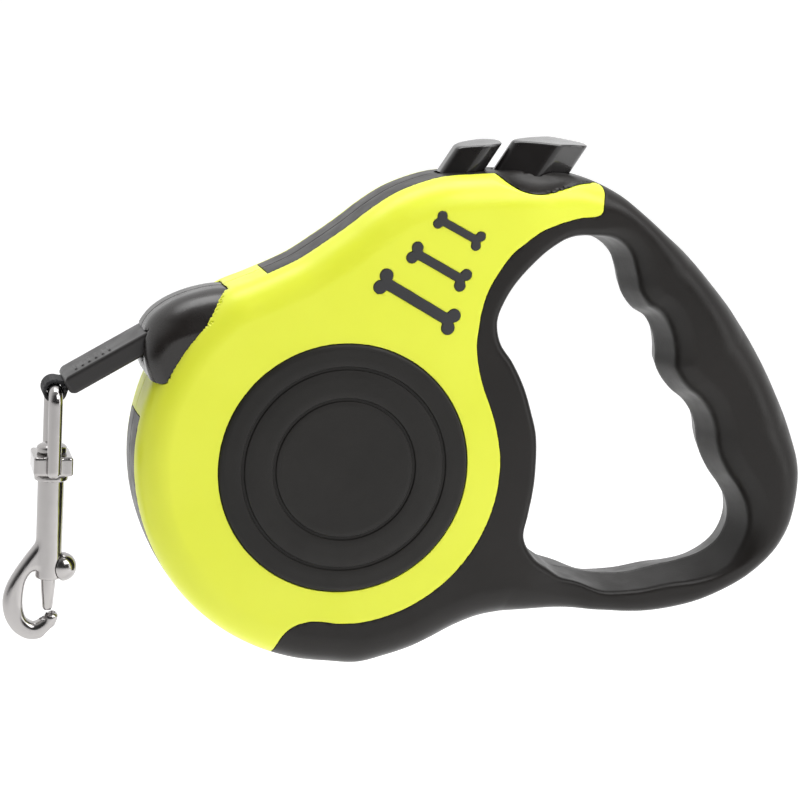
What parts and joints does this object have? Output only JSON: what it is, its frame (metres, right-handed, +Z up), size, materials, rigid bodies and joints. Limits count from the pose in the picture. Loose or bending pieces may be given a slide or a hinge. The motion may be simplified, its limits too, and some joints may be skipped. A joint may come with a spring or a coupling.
{
  "type": "retractable leash",
  "caption": "Retractable tape leash: round reel case with two-colour covers, looped finger-grip handle, brake and lock buttons, and a flat tape that ends in a swivel snap.",
  "frame": {"origin": "middle of the hand grip, on the mid-plane between the two half shells", "axes": "+X from the snap to the grip along the object's length, +Y from the front cover to the back, +Z up"},
  "size_m": [0.1982, 0.0318, 0.1285],
  "materials": {
    "black_shell": "fine moulded texture",
    "yellow_cover": "satin",
    "black_gloss": "satin",
    "black_cap": "fine matte",
    "inlay": "matte",
    "screw_steel": "blackened",
    "steel": "turned",
    "tape": "woven polyester",
    "reel_plastic": "moulded",
    "bush_brass": "turned",
    "spring_steel": "drawn",
    "button": "satin",
    "sleeve": "satin",
    "chrome": "polished"
  },
  "bodies": {
    "casing": {"front_case": "black_shell", "back_case": "black_shell", "front_cover": "yellow_cover", "back_cover": "yellow_cover", "nozzle_front": "black_gloss", "nozzle_back": "black_gloss", "front_cap": "black_cap", "back_cap": "black_cap", "front_bone_inlays": "inlay", "back_bone_inlays": "inlay", "casing_screws": "screw_steel", "axle": "steel", "spring_arbor": "steel", "tape_lead": "tape", "brake_spring": "spring_steel", "lock_spring": "spring_steel"},
    "reel": {"reel_drum": "reel_plastic", "spring_cover": "reel_plastic", "reel_bushes": "bush_brass", "power_spring": "spring_steel", "tape_winding": "tape"},
    "brake": {"brake_button": "button", "brake_stem": "reel_plastic"},
    "lock": {"lock_button": "button", "lock_latch": "reel_plastic"},
    "leash_end": {"stop_sleeve": "sleeve", "tape_end": "tape"},
    "eye": {"snap_eye": "chrome"},
    "snap": {"snap_body": "chrome", "swivel_rivet": "chrome", "bolt_spring": "spring_steel"},
    "bolt": {"snap_bolt": "chrome"}
  },
  "joints": [
    {"name": "leash_pull", "type": "slide", "parent": "casing", "child": "leash_end", "axis": [-0.8581, 0, -0.5135], "range_m": [0, 5], "stiffness_N_per_m": 2, "springref_m": -2},
    {"name": "reel_spin", "type": "hinge", "parent": "casing", "child": "reel", "pos_m": [-0.094, 0, -0.024], "axis": [0, -1, 0], "range_deg": [0, 8910], "deforming": ["power_spring"]},
    {"name": "brake_press", "type": "slide", "parent": "casing", "child": "brake", "axis": [-0.5231, 0, -0.8523], "range_m": [0, 0.004], "stiffness_N_per_m": 600, "springref_m": -0.003, "deforming": ["brake_spring"]},
    {"name": "lock_press", "type": "slide", "parent": "casing", "child": "lock", "axis": [-0.5231, 0, -0.8523], "range_m": [0, 0.0025], "stiffness_N_per_m": 500, "springref_m": -0.003, "deforming": ["lock_spring"]},
    {"name": "eye_swing", "type": "hinge", "parent": "leash_end", "child": "eye", "pos_m": [-0.1617, 0, -0.0082], "axis": [0, 1, 0], "range_deg": [-18, 120]},
    {"name": "snap_swivel", "type": "hinge", "parent": "eye", "child": "snap", "pos_m": [-0.1617, 0, -0.029], "axis": [0, 0, 1], "continuous": true},
    {"name": "bolt_slide", "type": "slide", "parent": "snap", "child": "bolt", "axis": [0, 0, 1], "range_m": [0, 0.006], "stiffness_N_per_m": 200, "springref_m": -0.004, "deforming": ["bolt_spring"]}
  ],
  "couplings": [
    {"joint": "reel_spin", "follows": "leash_pull", "rad_per_m": 31.102}
  ]
}
